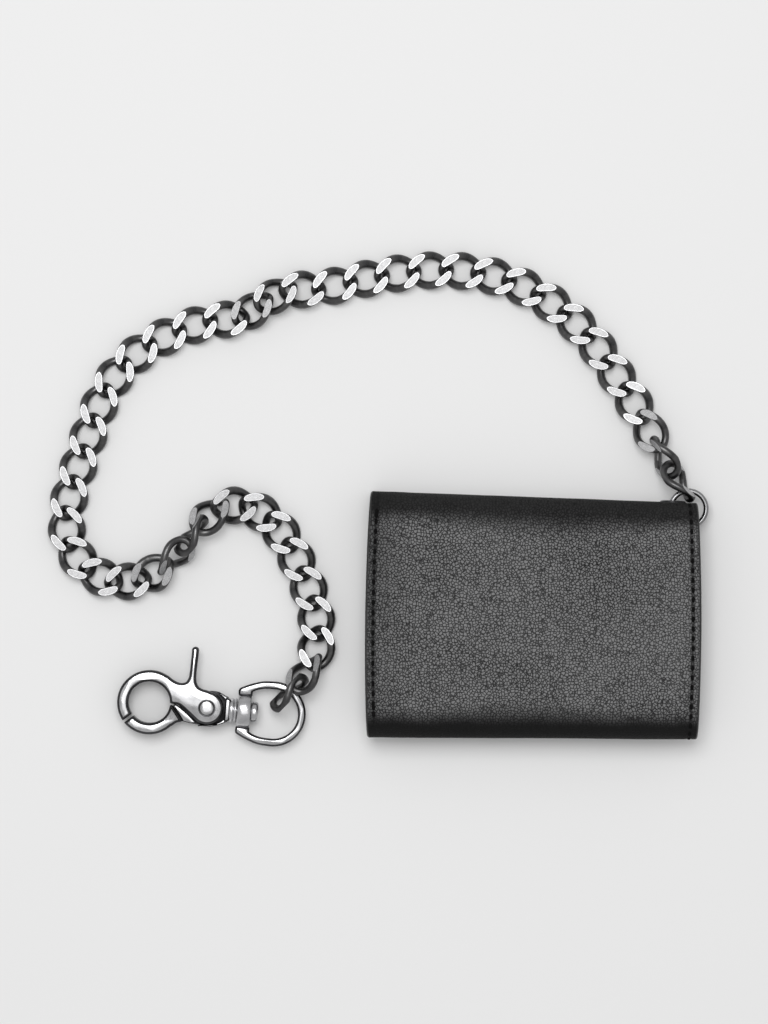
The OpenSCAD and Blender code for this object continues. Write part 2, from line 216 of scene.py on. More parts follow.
def film(name):
    """Clear plastic, slightly uneven."""
    s = Shader(name, (0.9, 0.9, 0.92), 0.12)
    s.bsdf.inputs["Transmission Weight"].default_value = 0.9
    s.bsdf.inputs["IOR"].default_value = 1.45
    s.roughness(s.ramp(s.noise(300.0), 0.3, 0.7, 0.08, 0.2))
    s.bump(s.noise(90.0), 0.0002, 0.3)
    return s.mat


COVER = leather("cover_leather", (0.006, 0.006, 0.0063), (0.186, 0.186, 0.188), grain=0.00095, depth=0.0004,
                rough=(0.4, 0.54), skin=True)
LINING = leather("lining_leather", (0.016, 0.016, 0.017), (0.034, 0.034, 0.035), grain=0.0005, depth=0.00005,
                 rough=(0.5, 0.66))
EDGE = plain("edge_paint", (0.008, 0.008, 0.008), 0.38)
THREAD = plain("thread", (0.002, 0.002, 0.002), 0.8, grain=5000.0, shine=0.1)
LINING_CLOTH = cloth("divider_cloth", (0.010, 0.010, 0.011), (0.035, 0.035, 0.036))
WIRE = metal("chain_wire", (0.065, 0.065, 0.067), (0.15, 0.148, 0.148), rough=(0.24, 0.4), scratch=0.7)
FACET = metal("chain_facet", (0.27, 0.27, 0.275), (0.66, 0.66, 0.665), rough=(0.46, 0.58), scratch=0.2, speckle=0.8)
# painted highlight: brighter metal in a flat band round each ground face, where a rounded edge would catch the light
RIM_HIGHLIGHT = metal("chain_rim_highlight", (0.42, 0.42, 0.43), (0.66, 0.66, 0.67), rough=(0.3, 0.4))
NICKEL = metal("clasp_nickel", (0.46, 0.46, 0.47), (0.66, 0.66, 0.67), rough=(0.14, 0.26), scratch=0.3)
# the darker nickel: the eyelet's own darker metal, and painted shade on the clasp's rounded rims and on the rivet
# head's edge and groove
DARK_NICKEL_AND_PAINTED_SHADE = metal("dark_nickel_and_painted_shade", (0.04, 0.04, 0.042), (0.10, 0.10, 0.104), rough=(0.2, 0.34), scratch=0.3)
# painted shade for a face sunk between the clasp's parts
SUNK_FACE_SHADE = metal("recess", (0.02, 0.02, 0.021), (0.05, 0.05, 0.052), rough=(0.4, 0.55))
RING_METAL = metal("ring_metal", (0.22, 0.22, 0.225), (0.36, 0.36, 0.365), rough=(0.18, 0.3))
STEEL = metal("spring_steel", (0.35, 0.35, 0.36), (0.5, 0.5, 0.51), rough=(0.25, 0.4))
FILM = film("window_film")


# ---------------------------------------------------------------- mesh helpers

def finish_mesh(name, verts, faces, mats, body=None, nodes=(), indices=None, flat=(), angle=None,
                weld=False):
    """Makes an object from points in millimetres, closed and with outward faces, and rides it on a body.

    indices are the faces' materials and flat the faces that aren't smooth. angle is where edges turn sharp, in
    degrees, and weld joins points that fall on each other."""
    mesh = bpy.data.meshes.new(name)
    mesh.from_pydata([tuple(c * MM for c in v) for v in verts], [], faces)
    for mat in mats:
        mesh.materials.append(mat)
    for i, face in enumerate(mesh.polygons):
        face.use_smooth = i not in flat
        if indices is not None:
            face.material_index = indices[i]
    bm = bmesh.new()
    bm.from_mesh(mesh)
    if weld:
        bmesh.ops.remove_doubles(bm, verts=bm.verts, dist=WELD * MM)
    bmesh.ops.recalc_face_normals(bm, faces=bm.faces)
    if weld and bm.calc_volume(signed=True) < 0:
        bmesh.ops.reverse_faces(bm, faces=bm.faces)
    bm.to_mesh(mesh)
    bm.free()
    if angle is not None:
        mesh.set_sharp_from_angle(angle=math.radians(angle))
    obj = bpy.data.objects.new(name, mesh)
    bpy.context.scene.collection.objects.link(obj)
    return settle(obj, body, nodes)


def settle(obj, body, nodes):
    """Rides the piece on its body, if it has one, and hides the CAD nodes it stands for."""
    if body:
        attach(obj, body)
    if nodes:
        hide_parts(*nodes)
    return obj


def spot(x, s, z):
    """The point x mm from the wallet's left edge and s mm down from its top edge, at height z."""
    f = x / WIDTH
    g = s / HEIGHT
    p = TL.lerp(TR, f).lerp(BL.lerp(BR, f), g)
    swell = math.sin(math.pi * min(1, max(0, g)))
    bulge = RIGHT_BOW * swell * max(0, f - 0.5) * 2 - LEFT_BOW * swell ** 0.6 * max(0, 0.5 - f) * 2
    return Vector((p.x + bulge, p.y, z))


def columns(x0, x1, fine_at=(), coarse=1.6, fine=0.28, reach=1.3):
    """Positions from x0 to x1, close together near each place in fine_at."""
    out = [x0]
    while out[-1] < x1 - 1e-6:
        near = min([abs(out[-1] - f) for f in fine_at], default=99)
        step = fine if near < reach else min(coarse, max(fine, near - reach + fine))
        out.append(min(x1, out[-1] + step))
    if out[-1] - out[-2] < 0.1:
        out.pop(-2)
    return out


def strip(name, path, x0, x1, thick, mats, shape=None, body=None, nodes=(), fine_at=(), lead=None,
          tail=None, walked=0.0):
    """A sheet of leather: path is its outer face as (s, z, normal s, normal z), run across from x0 to x1 with rounded
    edges. mats are the outer face, the inner face and the edges. lead and tail are the path's neighbours beyond its
    ends, which keep the shading smooth across a seam, and walked is the skin's length before it."""
    r = thick / 2
    xs = columns(x0 + r * 0.7, x1 - r * 0.7, fine_at)
    arc = [math.radians(a) for a in (22, 45, 68, 90, 112, 135, 158)]
    loop = [(x, 0.0, 1) for x in xs]
    loop += [(xs[-1] + 0.7 * r * math.sin(a), r - r * math.cos(a), 0) for a in arc]
    loop += [(x, thick, -1) for x in reversed(xs)]
    loop += [(xs[0] - 0.7 * r * math.sin(a), r - r * math.cos(a), 0) for a in reversed(arc)]
    count = len(loop)

    def row(place):
        s, z, ns, nz = place
        out = []
        for x, depth, side in loop:
            lift = shape(x, s, side) if shape else 0.0
            d = lift * (1 if side >= 0 else 0.4) - depth
            out.append(spot(x, s + ns * d, z + nz * d))
        return out

    rows = [row(place) for place in path]
    verts = [v for line in rows for v in line]
    faces, indices = [], []
    kinds = []
    for k in range(count):
        a, b = loop[k][2], loop[(k + 1) % count][2]
        kinds.append(0 if a == b == 1 else (1 if a == b == -1 else 2))
    for i in range(len(path) - 1):
        for k in range(count):
            k2 = (k + 1) % count
            faces.append((i * count + k, i * count + k2, (i + 1) * count + k2, (i + 1) * count + k))
            indices.append(kinds[k])
    n = len(xs)
    flat = set()
    for i in (0, len(path) - 1):
        base = i * count
        inner = [n + len(arc) + (n - 1 - k) for k in range(n)]
        for k in range(n - 1):
            flat.add(len(faces))
            faces.append((base + k, base + k + 1, base + inner[k + 1], base + inner[k]))
            indices.append(2)
        flat.add(len(faces))
        faces.append(tuple(base + k for k in range(n - 1, n + len(arc) + 1)))
        indices.append(2)
        flat.add(len(faces))
        faces.append(tuple(base + k % count for k in range(n + len(arc) + n - 1, count + 1)))
        indices.append(2)
    obj = finish_mesh(name, verts, faces, mats, body, nodes, indices, flat)
    mesh = obj.data
    mesh.attributes.new("skin", "FLOAT_VECTOR", "POINT")
    # the shade attribute holds how dark skin_shade paints the skin, mostly painted shade on the folds
    mesh.attributes.new("shade", "FLOAT", "POINT")
    grain, shade_layer = mesh.attributes["skin"], mesh.attributes["shade"]
    for i, place in enumerate(path):
        if i:
            walked += math.dist(place[:2], path[i - 1][:2])
        for k, (x, depth, side) in enumerate(loop):
            grain.data[i * count + k].vector = (x * MM, walked * MM, (0.004 if side < 0 else 0.0))
            shade_layer.data[i * count + k].value = skin_shade(x, place[0], place[1])
    if lead or tail:
        ahead = [row(lead)] if lead else [rows[0]]
        after = [row(tail)] if tail else [rows[-1]]
        lines = ahead + rows + after
        normals = []
        for i in range(1, len(lines) - 1):
            for k in range(count):
                across = lines[i][(k + 1) % count] - lines[i][k - 1]
                down = lines[i + 1][k] - lines[i - 1][k]
                normals.append(across.cross(down).normalized())
        for face in mesh.polygons:
            if face.index not in flat:
                sign = 1 if normals[face.vertices[0]].dot(face.normal) > 0 else -1
                break
        custom = []
        for face in mesh.polygons:
            custom += [face.normal.copy() if face.index in flat else sign * normals[v] for v in face.vertices]
        mesh.normals_split_custom_set(custom)
    return obj


def smooth_step(x, low, high):
    t = min(1.0, max(0.0, (x - low) / (high - low)))
    return t * t * (3 - 2 * t)


def skin_shade(x, s, z):
    """How dark the outer skin is painted, from 0 to 1: painted shade along the folds, where they curve away from the
    light, and darker along the left and right edges, the stitch lines and the left side.
    """
    if z < 4:
        return 0.1
    wave = 0.9 * noise.noise(Vector((x / 9, s / 30, 2.0))) + 0.5 * noise.noise(Vector((x / 3.1, s / 6, 5.0)))
    middle = math.sin(math.pi * min(1, max(0, x / WIDTH))) ** 2
    # painted shade along the top and bottom folds, in bands that widen towards the middle and have wavy inner edges
    fold = max(0.92 * (1 - smooth_step(s + wave, 5.0, 10.5 + 4.5 * middle)),
               smooth_step(s + wave, HEIGHT - 10.5 - 3.5 * middle, HEIGHT - 4.0))
    # darker towards the left side, most near the top, and along the left and right edges and the stitch lines
    side = 0.4 * (1 - smooth_step(x, 3.0, 15.0)) * (1 - 0.5 * smooth_step(s, 20, 50))
    edge = 0.8 * max(bell(x, 1.0), bell(WIDTH - x, 1.0))
    seam = 0.8 * max(bell(x - LEFT_STITCH, 0.8), bell(x - RIGHT_STITCH, 0.7))
    return min(1.0, 1 - (1 - fold) * (1 - edge) * (1 - seam) * (1 - side))


def straight(s0, s1, z, up=1, step=1.2):
    """A level path from s0 to s1 whose outer face looks up, or down for -1."""
    count = max(2, int(abs(s1 - s0) / step) + 1)
    return [(s0 + (s1 - s0) * i / count, z, 0.0, float(up)) for i in range(count + 1)]


TOP_Z = 16.0             # the closed wallet's top face
SPINE_Z = 10.5           # where the spine wall starts to turn over
TOP_REACH = 9.5          # how far the top fold's curve reaches over the wallet
TOP_CUT = 5.5            # where the fold's leather ends and the back panel starts
INNER_Z = 5.3            # the inner flap's outer face
BOTTOM_REACH = 8.0
BOTTOM_R = (TOP_Z - INNER_Z) / 2
BOTTOM_Z = (TOP_Z + INNER_Z) / 2


def skin_path():
    """The wallet's outer skin from the outer flap's free end, round the spine, over the top, round the bottom fold
    and back under the inner flap, with the index where each piece ends."""
    pts = [(HEIGHT - 3.6 - k * 1.2, 0.0) for k in range(int((HEIGHT - 5.6) / 1.2))] + [(2.0, 0.0)]
    pts += [(2 - 2 * math.sin(math.radians(a)), 2 - 2 * math.cos(math.radians(a))) for a in range(15, 91, 15)]
    pts += [(0.0, 2 + (SPINE_Z - 2) * k / 9) for k in range(1, 10)]
    cuts = [len(pts) - 1]

    def top(a):
        a = math.radians(a)
        return TOP_REACH - TOP_REACH * math.cos(a), SPINE_Z + (TOP_Z - SPINE_Z) * math.sin(a)

    def bottom(a):
        a = math.radians(a)
        return HEIGHT - BOTTOM_REACH + BOTTOM_REACH * math.sin(a), BOTTOM_Z + BOTTOM_R * math.cos(a)

    a_cut = math.degrees(math.acos((TOP_REACH - TOP_CUT) / TOP_REACH))
    pts += [top(a_cut * k / 14) for k in range(1, 15)]
    cuts.append(len(pts) - 1)
    pts += [top(a_cut + (90 - a_cut) * k / 6) for k in range(1, 7)]
    flat_from, flat_to = TOP_REACH, HEIGHT - BOTTOM_REACH
    count = int((flat_to - flat_from) / 0.8)
    pts += [(flat_from + (flat_to - flat_from) * k / count, TOP_Z) for k in range(1, count + 1)]
    b_cut = math.degrees(math.asin((BOTTOM_REACH - BOTTOM_R) / BOTTOM_REACH))
    pts += [bottom(b_cut * k / 4) for k in range(1, 5)]
    cuts.append(len(pts) - 1)
    pts += [bottom(b_cut + (90 - b_cut) * k / 14) for k in range(1, 15)]
    flap_from, flap_to = HEIGHT - BOTTOM_R, 15.0
    pts += [(flap_from + BOTTOM_R * math.cos(math.radians(a)), BOTTOM_Z - BOTTOM_R * math.sin(math.radians(a)))
            for a in range(9, 91, 9)]
    cuts.append(len(pts) - 1)
    count = int((flap_from - flap_to) / 1.2)
    pts += [(flap_from + (flap_to - flap_from) * k / count, INNER_Z) for k in range(1, count + 1)]
    path = []
    for i, (s, z) in enumerate(pts):
        a, b = pts[max(0, i - 1)], pts[min(len(pts) - 1, i + 1)]
        t = Vector((b[0] - a[0], b[1] - a[1])).normalized()
        path.append((s, z, -t.y, t.x))
    return path, cuts


SKIN, CUTS = skin_path()
PARTS = {"outer": SKIN[:CUTS[0] + 1], "top": SKIN[CUTS[0]:CUTS[1] + 1], "cover": SKIN[CUTS[1]:CUTS[2] + 1],
         "bottom": SKIN[CUTS[2]:CUTS[3] + 1], "inner": SKIN[CUTS[3]:]}
LEFT_STITCH = 2.5
RIGHT_STITCH = WIDTH - 2.7
STITCH_PITCH = 3.2
RIDGE_GAP = 2.9          # from the left stitches to the low ridge beside them


def bell(d, w):
    """1 at d = 0, falling to nothing over about 2 w."""
    return math.exp(-(d / w) ** 2)


def skin_length(index):
    """The length of the skin's path up to a point."""
    return sum(math.dist(SKIN[i][:2], SKIN[i + 1][:2]) for i in range(index))


def cover_shape(x, s, side):
    """How far the back panel stands off its flat place: crowned, with sunk stitch lines and soft unevenness."""
    edge = min(x, WIDTH - x)
    crown = 0.55 * (1 - bell(edge, 16)) * min(1, max(0, s / 14)) * min(1, max(0, (HEIGHT - s) / 14))
    soft = 0.16 * noise.noise(Vector((x / 21, s / 17, 0.3))) + 0.05 * noise.noise(Vector((x / 6, s / 6, 4.1)))
    out = crown + soft * min(1, edge / 5)
    if side == 1:
        if 3.4 < s < 74.0:
            out -= 0.2 * bell(x - LEFT_STITCH, 0.75) - 0.13 * bell(x - LEFT_STITCH - RIDGE_GAP, 0.9)
        out -= 0.2 * bell(x - RIGHT_STITCH, 0.75)
    return out


def stitch_run(name, places, mat=None, body=None, length=2.2, radius=0.46, blended=None):
    """Stitches: each place is (centre, direction, outward normal). One mesh holds the run."""
    verts, faces = [], []
    rings, sides = 7, 8
    for centre, along, up in places:
        along = along.normalized()
        up = (up - up.dot(along) * along).normalized()
        out = along.cross(up)
        base = len(verts)
        for i in range(rings):
            u = -1 + 2 * i / (rings - 1)
            r = radius * math.sqrt(max(0.03, 1 - abs(u) ** 3.2))
            sink = -0.32 * abs(u) ** 3
            for j in range(sides):
                a = 2 * math.pi * j / sides
                verts.append(centre + along * (u * length / 2) + up * (sink + r * math.sin(a) * 0.8)
                             + out * (r * 1.25 * math.cos(a)))
        for i in range(rings - 1):
            for j in range(sides):
                faces.append((base + i * sides + j, base + i * sides + (j + 1) % sides,
                              base + (i + 1) * sides + (j + 1) % sides, base + (i + 1) * sides + j))
        faces.append(tuple(base + j for j in range(sides)))
        faces.append(tuple(base + (rings - 1) * sides + j for j in range(sides)))
    obj = finish_mesh(name, verts, faces, [mat or THREAD], None)
    if blended:
        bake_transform(obj)
    else:
        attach(obj, body)
    return obj


def along_skin(part, x, s_from, s_to, pitch=STITCH_PITCH, shape=cover_shape, lift=0.0):
    """Stitch places on one part of the skin, counted from one start so that runs on neighbouring parts join up."""
    out = []
    path = PARTS[part]
    walked = skin_length(SKIN.index(path[0]))
    for i in range(len(path) - 1):
        a, b = path[i], path[i + 1]
        step = (Vector(b[:2]) - Vector(a[:2])).length
        k = math.ceil(walked / pitch)
        while k * pitch < walked + step:
            t = (k * pitch - walked) / step
            s, z, ns, nz = (a[j] + (b[j] - a[j]) * t for j in range(4))
            if s_from <= s <= s_to:
                d = shape(x, s, 1) + lift
                here = spot(x, s + ns * d, z + nz * d)
                ahead = spot(x, s + ns * d + (b[0] - a[0]), z + nz * d + (b[1] - a[1]))
                up = spot(x, s + ns * (d + 1), z + nz * (d + 1)) - here
                out.append((here, ahead - here, up))
            k += 1
        walked += step
    return out


def mm_point(x, s, z):
    return tuple(c * MM for c in spot(x, s, z))


# ---------------------------------------------------------------- wallet

SIDES = [COVER, LINING, EDGE]
TOP_BLEND = ("outer_flap", "centre_panel", mm_point(WIDTH / 2, 0, SPINE_Z),
             mm_point(WIDTH / 2, TOP_CUT, SKIN[CUTS[1]][1]))
BOTTOM_BLEND = ("centre_panel", "inner_flap", mm_point(WIDTH / 2, HEIGHT - BOTTOM_R, SKIN[CUTS[2]][1]),
                mm_point(WIDTH / 2, HEIGHT - BOTTOM_R, INNER_Z))
CREASES = (LEFT_STITCH, LEFT_STITCH + RIDGE_GAP, RIGHT_STITCH)


def flap_shape(x, s, side):
    """How far a flap stands off its flat place, with its sunk stitch line."""
    out = 0.04 * noise.noise(Vector((x / 18, s / 18, 9.0)))
    return out - 0.16 * bell(x - RIGHT_STITCH, 0.75) if side == 1 else out


def skin_piece(name, part, shape, body, node):
    """One piece of the wallet's skin, cut from the whole skin's path."""
    path = PARTS[part]
    first = SKIN.index(path[0])
    last = first + len(path) - 1
    return strip(name, path, 0, WIDTH, LEATHER, SIDES, shape, body, [node], CREASES,
                 SKIN[first - 1] if first else None, SKIN[last + 1] if last + 1 < len(SKIN) else None,
                 skin_length(first))


skin_piece("outer_flap_leather", "outer", flap_shape, "outer_flap", "outer_flap_cover")
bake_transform(skin_piece("top_fold_leather", "top", cover_shape, None, "top_fold"))
skin_piece("centre_panel_leather", "cover", cover_shape, "centre_panel", "centre_cover")
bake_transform(skin_piece("bottom_fold_leather", "bottom", cover_shape, None, "bottom_fold"))
skin_piece("inner_flap_leather", "inner", flap_shape, "inner_flap", "inner_flap_cover")

stitch_run("stitches_outer", along_skin("outer", RIGHT_STITCH, 3, 72, shape=flap_shape), body="outer_flap")
stitch_run("stitches_top", along_skin("top", RIGHT_STITCH, -1, 99), blended=TOP_BLEND)
stitch_run("stitches_cover_right", along_skin("cover", RIGHT_STITCH, 0, 99), body="centre_panel")
left_places = along_skin("cover", LEFT_STITCH, 5, 73.4)
stitch_run("stitches_cover_left", left_places + [(c + t.normalized() * 1.1, t, u) for c, t, u in
                                                 (left_places[0], left_places[-2])], body="centre_panel")
stitch_run("stitches_bottom", along_skin("bottom", RIGHT_STITCH, -1, 99), blended=BOTTOM_BLEND)
stitch_run("stitches_inner", along_skin("inner", RIGHT_STITCH, 16, 76, shape=flap_shape), body="inner_flap")


def frame_stitches(name, x0, x1, s0, s1, z, up, body, closed=True, pitch=STITCH_PITCH):
    """A stitched rectangle on a level layer. An open one leaves its left side, the slots' mouth, unsewn."""
    places = []
    runs = [((x0, s0), (x1, s0)), ((x1, s0), (x1, s1)), ((x1, s1), (x0, s1))]
    if closed:
        runs.append(((x0, s1), (x0, s0)))
    for (ax, a_s), (bx, b_s) in runs:
        length = math.hypot(bx - ax, b_s - a_s)
        count = max(1, round(length / pitch))
        for k in range(count):
            t = (k + 0.5) / count
            here = spot(ax + (bx - ax) * t, a_s + (b_s - a_s) * t, z)
            there = spot(ax + (bx - ax) * (t + 0.01), a_s + (b_s - a_s) * (t + 0.01), z)
            places.append((here, there - here, Vector((0, 0, up))))
    stitch_run(name, places, body=body, length=2.2, radius=0.28)


def layer(name, x0, x1, s0, s1, z, thick, body, up=1, mat=None, nodes=(), seed=0.0):
    """A level layer of lining leather whose outer face, at height z, looks up or down."""
    def shape(x, s, side):
        return 0.05 * noise.noise(Vector((x / 15, s / 15, seed)))
    mat = mat or LINING
    return strip(name, straight(s1, s0, z, up), x0, x1, thick, [mat, mat, EDGE if mat is LINING else mat], shape,
                 body, nodes)


# The outer flap's pocket: a backing, a window frame of four strips and a clear film between them.
layer("id_pocket_back", 3, WIDTH - 2, 14, HEIGHT - 6, 2.6, 0.8, "outer_flap", nodes=["id_window_pocket"])
layer("id_pocket_far", 3, WIDTH - 2, 14, 21, 3.55, 0.7, "outer_flap", seed=1)
layer("id_pocket_near", 3, WIDTH - 2, HEIGHT - 14, HEIGHT - 6, 3.55, 0.7, "outer_flap", seed=2)
layer("id_pocket_left", 3, 18, 21.05, HEIGHT - 14.05, 3.55, 0.7, "outer_flap", seed=3)
layer("id_pocket_right", WIDTH - 14, WIDTH - 2, 21.05, HEIGHT - 14.05, 3.55, 0.7, "outer_flap", seed=4)
layer("id_window", 14, WIDTH - 10, 18, HEIGHT - 11, 2.82, 0.16, "outer_flap", mat=FILM, seed=5)
frame_stitches("id_pocket_stitches", 5, WIDTH - 4, 15.6, HEIGHT - 7.6, 3.55, 1, "outer_flap", closed=False)

# Card slots: each one is stepped over the one behind it.
for k, x0 in enumerate((6, 20, 34)):
    layer(f"inner_slot_{k + 1}", x0, WIDTH - 2, 16, HEIGHT - 8, 8.0 + 0.9 * k, 0.86, "inner_flap",
          nodes=["inner_card_pocket"] if k == 0 else (), seed=10 + k)
frame_stitches("inner_slot_stitches", 36, WIDTH - 4, 17.6, HEIGHT - 9.6, 9.8, 1, "inner_flap", closed=False)
for k, x0 in enumerate((10, 26)):
    layer(f"centre_slot_{k + 1}", x0, WIDTH - 2, 14, HEIGHT - 8, 11.5 - 0.9 * k, 0.86, "centre_panel", up=-1,
          nodes=["centre_card_pocket"] if k == 0 else (), seed=20 + k)
frame_stitches("centre_slot_stitches", 28, WIDTH - 4, 15.6, HEIGHT - 9.6, 10.6, -1, "centre_panel", closed=False)
layer("bill_lining", 1, WIDTH - 0.4, 6.4, HEIGHT - 6.2, 13.2, 0.75, "centre_panel", mat=LINING_CLOTH,
      nodes=["bill_divider"], seed=30)
layer("bill_margin", WIDTH - 4.2, WIDTH - 0.3, 6.4, HEIGHT - 6.2, 14.25, 1.0, "centre_panel", seed=31)


# ---------------------------------------------------------------- turned and cast metal

def lathe(name, profile, centre, axis, mats, body, nodes=(), sides=64, angle=35, indices=None):
    """Turns a closed outline of (along, radius) points about an axis."""
    axis = Vector(axis).normalized()
    side = axis.orthogonal().normalized()
    other = axis.cross(side)
    verts, faces, kinds = [], [], []
    for j in range(sides):
        a = 2 * math.pi * j / sides
        out = side * math.cos(a) + other * math.sin(a)
        verts += [centre + axis * u + out * max(r, 0.0005) for u, r in profile]
    n = len(profile)
    for j in range(sides):
        for k in range(n):
            faces.append((j * n + k, j * n + (k + 1) % n, ((j + 1) % sides) * n + (k + 1) % n,
                          ((j + 1) % sides) * n + k))
            kinds.append(indices[k] if indices else 0)
    return finish_mesh(name, verts, faces, mats, body, nodes, kinds, angle=angle)


def rounded(points, radius, steps=4):
    """A closed outline with its corners rounded."""
    out = []
    n = len(points)
    for i in range(n):
        p, a, b = Vector(points[i]), Vector(points[i - 1]), Vector(points[(i + 1) % n])
        to_a, to_b = (a - p), (b - p)
        r = min(radius, 0.45 * to_a.length, 0.45 * to_b.length)
        s, e = p + to_a.normalized() * r, p + to_b.normalized() * r
        for k in range(steps + 1):
            t = k / steps
            out.append(tuple((1 - t) ** 2 * s + 2 * t * (1 - t) * p + t * t * e))
    return out


top_dir = (TR - TL).normalized()
spine_out = Vector((-top_dir.y, top_dir.x, 0))
eyelet_at = Vector((*(TL + 98 * top_dir), 5.9))
lathe("eyelet", rounded([(0.0, 2.5), (0.55, 2.62), (0.6, 3.3), (0.34, 4.05), (0.0, 4.2), (-0.05, 3.4), (-0.2, 3.0),
                         (-2.7, 3.0), (-2.7, 2.5)], 0.3), eyelet_at, spine_out, [DARK_NICKEL_AND_PAINTED_SHADE], "outer_flap",
      ["chain_eyelet"])
lathe("eyelet_washer", rounded([(-1.75, 3.05), (-1.75, 3.9), (-2.2, 3.9), (-2.35, 3.4), (-2.3, 3.05)], 0.15),
      eyelet_at, spine_out, [DARK_NICKEL_AND_PAINTED_SHADE], "outer_flap")

RING_WIRE = 0.85         # radius
ring_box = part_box("wallet_ring")
ring_mid = (ring_box[0] + ring_box[1]) / 2 / MM
ring_r = (ring_box[1].x - ring_box[0].x) / 2 / MM - RING_WIRE
ring_profile = [(RING_WIRE * math.sin(2 * math.pi * k / 24), ring_r + RING_WIRE * math.cos(2 * math.pi * k / 24))
                for k in range(24)]
lathe("ring", ring_profile, ring_mid, (0, 0, 1), [RING_METAL], "wallet_ring", ["wallet_ring"], 96)


# ---------------------------------------------------------------- chain

LINK_L, LINK_W = 6.7, 4.7        # half the wire's middle line, along and across the link
WIRE_R = 1.21
LINK_TWIST = 45.0        # degrees from the link's middle to its end
GROUND = 4.4             # thickness over the ground faces
RIM_HIGHLIGHT_WIDTH = 0.16


def link_mesh(name, swell):
    """A curb link: an oval of round wire, fuller by swell on the outside of its long sides, twisted, then ground flat
    above and below, with a painted highlight: a brighter flat rim round each ground face."""
    rings, sides = 96, 20

    def middle(t):
        x = LINK_L * math.cos(t)
        a = math.radians(-LINK_TWIST * x / LINK_L)
        y = LINK_W * math.sin(t)
        return Vector((x, y * math.cos(a), y * math.sin(a)))

    bm = bmesh.new()
    grid = []
    for i in range(rings):
        t = 2 * math.pi * i / rings
        along = (middle(t + 0.001) - middle(t - 0.001)).normalized()
        a = math.radians(-LINK_TWIST * math.cos(t))
        out = Vector((LINK_W * math.cos(t), LINK_L * math.sin(t) * math.cos(a), LINK_L * math.sin(t) * math.sin(a)))
        side = (out - out.dot(along) * along).normalized()
        up = along.cross(side)
        seam = 0.955 if i == rings // 4 else 1.0
        ring = []
        for j in range(sides):
            a = 2 * math.pi * j / sides
            r = seam * WIRE_R + swell * math.sin(t) ** 4 * max(0.0, math.cos(a))
            ring.append(bm.verts.new(middle(t) + r * (math.cos(a) * side + math.sin(a) * up)))
        grid.append(ring)
    for i in range(rings):
        for j in range(sides):
            i2, j2 = (i + 1) % rings, (j + 1) % sides
            bm.faces.new((grid[i][j], grid[i2][j], grid[i2][j2], grid[i][j2]))
    bmesh.ops.recalc_face_normals(bm, faces=bm.faces)
    facets = []
    for sign in (1, -1):
        level = Vector((0, 0, sign * GROUND / 2))
        bmesh.ops.bisect_plane(bm, geom=bm.verts[:] + bm.edges[:] + bm.faces[:], plane_co=level,
                               plane_no=(0, 0, sign), clear_outer=True)
        edges = [e for e in bm.edges if e.is_boundary]
        facets += bmesh.ops.holes_fill(bm, edges=edges, sides=0)["faces"]
    for face in facets:
        face.material_index = 1
    # painted highlight: a flat band round each ground face takes the brighter rim metal
    for face in bmesh.ops.inset_individual(bm, faces=facets, thickness=RIM_HIGHLIGHT_WIDTH, depth=0.0)["faces"]:
        face.material_index = 2
    bmesh.ops.remove_doubles(bm, verts=bm.verts, dist=WELD)
    for face in bm.faces:
        face.smooth = face.material_index == 0
    bmesh.ops.recalc_face_normals(bm, faces=bm.faces)
    for v in bm.verts:
        v.co *= MM
    mesh = bpy.data.meshes.new(name)
    bm.to_mesh(mesh)
    bm.free()
    for mat in (WIRE, FACET, RIM_HIGHLIGHT):
        mesh.materials.append(mat)
    return mesh


# The links that lie turned about their own length, in degrees.
ROLLED = {1: -115, 2: -66, 3: -18, 17: 12, 18: 12, 33: 52, 34: 104, 35: 156, 43: 45, 44: 90}
joint_at = {j["name"]: Vector(j["pos_m"]) for j in frame["joints"]}
LINKS = sorted(n for n in frame["nodes"] if n.startswith("chain_link_"))
curb = link_mesh("curb_link", 0.36)
turned = link_mesh("turned_link", 0.0)
for i, node in enumerate(LINKS, 1):
    p = joint_at[f"link_{i:02d}_turn"]
    q = joint_at[f"link_{i + 1:02d}_turn" if i < len(LINKS) else "d_ring_turn"]
    d = q - p
    link = bpy.data.objects.new(f"link_{i:02d}", turned if i in ROLLED else curb)
    bpy.context.scene.collection.objects.link(link)
    link.matrix_world = (Matrix.Translation((p + q) / 2) @ Matrix.Rotation(math.atan2(d.y, d.x), 4, "Z")
                         @ Matrix.Rotation(-math.atan2(d.z, d.xy.length), 4, "Y")
                         @ Matrix.Rotation(math.radians(ROLLED.get(i, 0)), 4, "X"))
    bpy.context.view_layer.update()
    settle(link, f"link_{i:02d}", [node])


# ---------------------------------------------------------------- clasp

RIVET = joint_at["clasp_trigger"] / MM
TURN = math.radians(-5.4)        # the clasp's slant on the table
U = Vector((math.cos(TURN), math.sin(TURN), 0))
V = Vector((-math.sin(TURN), math.cos(TURN), 0))
EYE = Vector((-18.8, 0.1))       # the middle of the jaws' round eye


def clasp_point(u, v, z):
    """A point in the clasp's frame."""
    return RIVET + U * u + V * v + Vector((0, 0, z))


def arc(centre, r, a0, a1, step=5.0):
    """An arc from a0 to a1 degrees."""
    n = max(1, round(abs(a1 - a0) / step))
    return [(centre[0] + r * math.cos(math.radians(a0 + (a1 - a0) * k / n)),
             centre[1] + r * math.sin(math.radians(a0 + (a1 - a0) * k / n))) for k in range(n + 1)]


